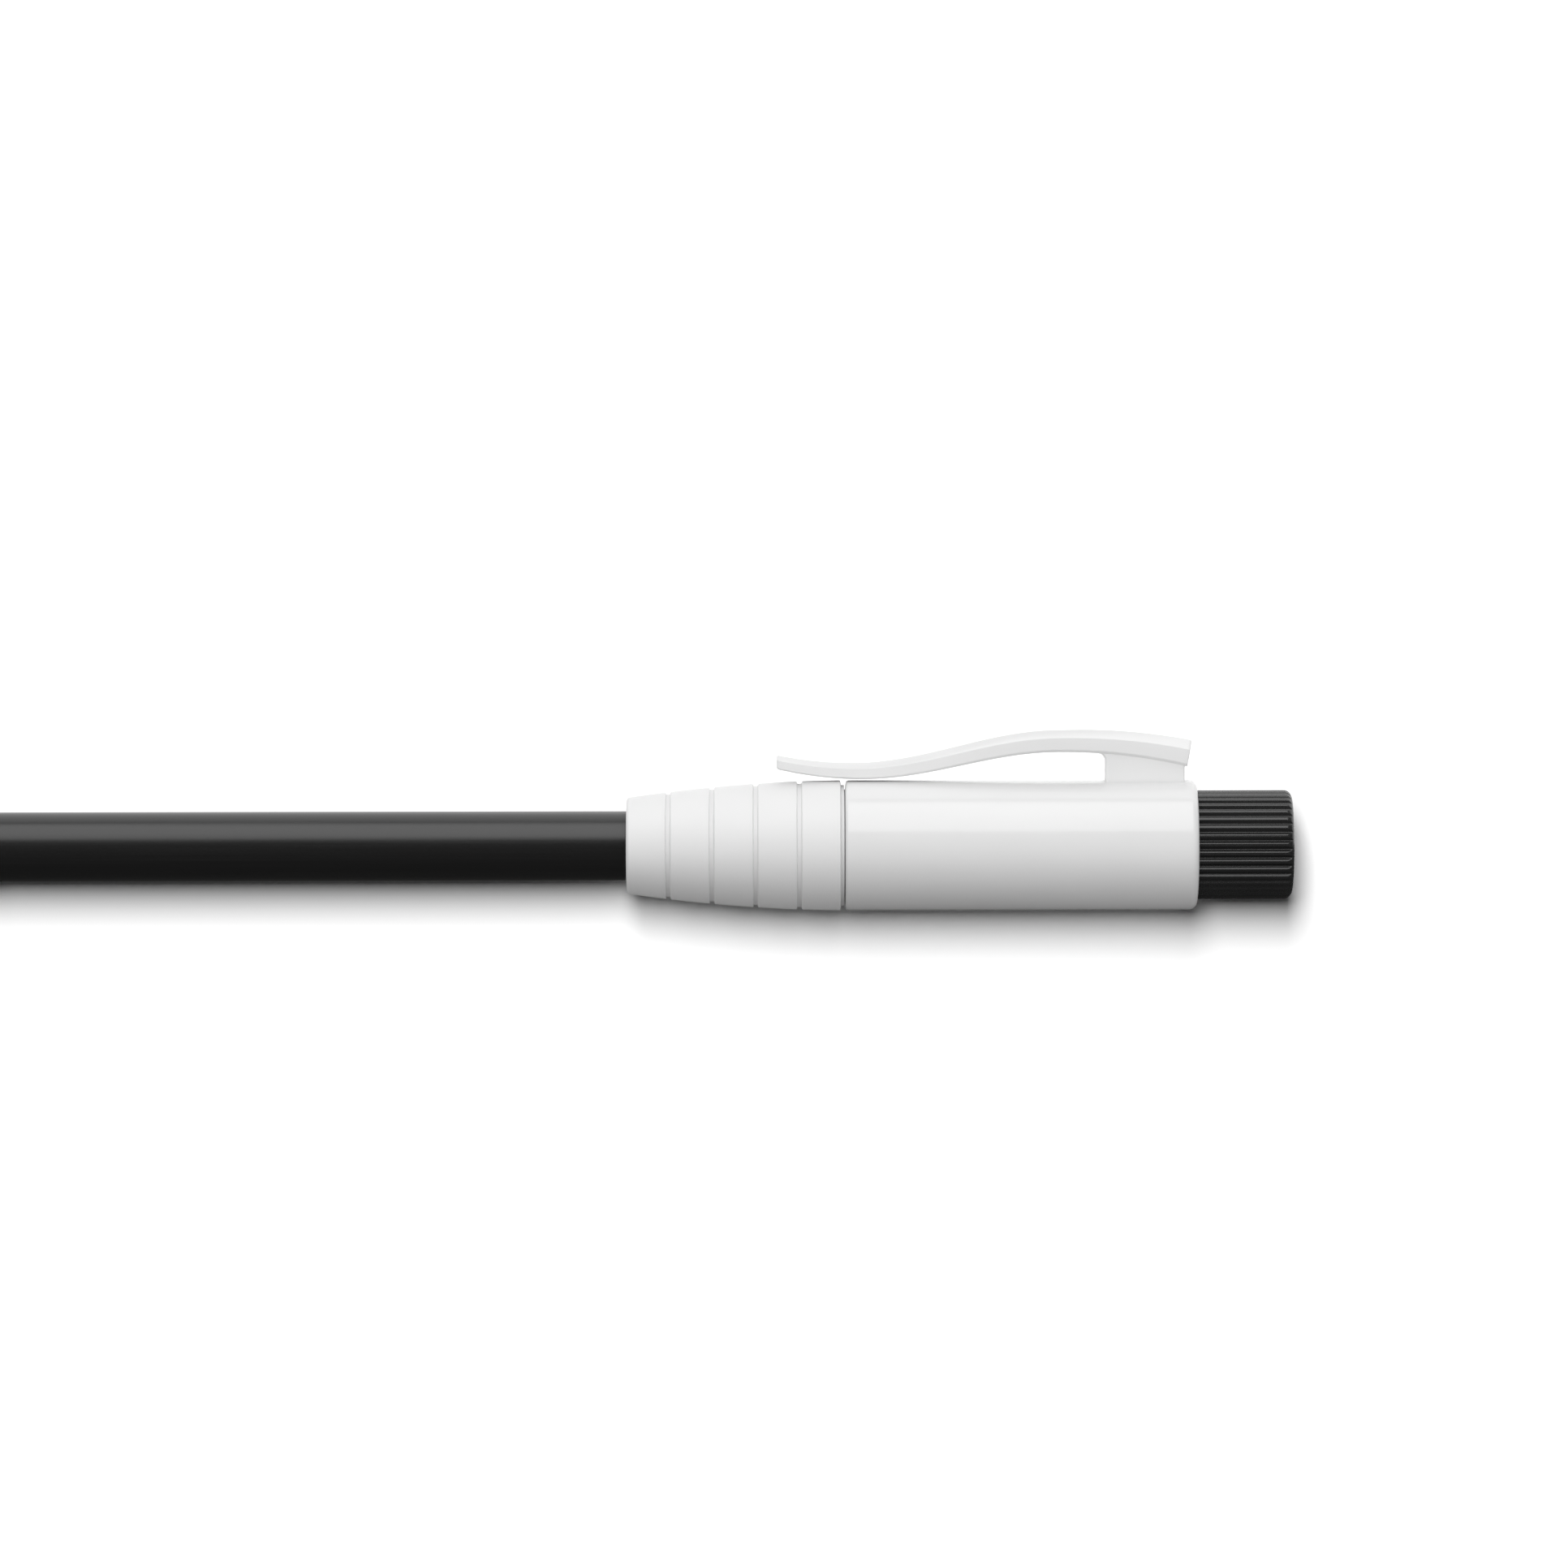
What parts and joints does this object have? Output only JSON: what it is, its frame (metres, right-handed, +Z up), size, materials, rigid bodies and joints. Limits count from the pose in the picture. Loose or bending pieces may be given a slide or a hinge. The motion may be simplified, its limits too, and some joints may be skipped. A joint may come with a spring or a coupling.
{
  "type": "pencil with cap sharpener",
  "caption": "Round black pencil standing in a white cap with a ribbed nose, a springy pocket clip and a fluted knob that pulls a sharpener out of the barrel.",
  "frame": {"origin": "centre of the knob's flat end", "axes": "+X along the pencil, out of the knob's flat end; +Y from the barrel's axis to the pocket clip; +Z up, square to both, towards the viewer of the picture"},
  "size_m": [0.1534, 0.0189, 0.0137],
  "materials": {
    "black_rubber": "matt",
    "black_metal": "black painted, satin",
    "black_lacquer": "satin lacquer",
    "pencil_wood": "bare, cut",
    "graphite": "dull metallic sheen",
    "white_matt_plastic": "matt",
    "white_gloss_plastic": "gloss",
    "black_plastic": "satin",
    "steel": "ground"
  },
  "bodies": {
    "cap": {"nose_grip": "white_matt_plastic", "cap_barrel": "white_gloss_plastic", "clip_post": "white_gloss_plastic"},
    "clip": {"clip_arm": "white_gloss_plastic"},
    "pencil": {"lacquer_coat": "black_lacquer", "upper_slat": "pencil_wood", "lower_slat": "pencil_wood", "graphite_lead": "graphite", "ferrule": "black_metal", "eraser": "black_rubber"},
    "sharpener": {"sharpener_body": "black_plastic", "blade": "steel", "blade_screw": "steel", "knob": "black_plastic"}
  },
  "joints": [
    {"name": "pencil_slide", "type": "slide", "parent": "cap", "child": "pencil", "axis": [-1, 0, 0], "range_m": [0, 0.036]},
    {"name": "sharpener_slide", "type": "slide", "parent": "cap", "child": "sharpener", "axis": [1, 0, 0], "range_m": [0, 0.042]},
    {"name": "clip_flex", "type": "hinge", "parent": "cap", "child": "clip", "pos_m": [-0.0213, 0.0109, 0], "axis": [0, 0, -1], "range_deg": [0, 5], "stiffness_Nm_per_rad": 1.5}
  ]
}
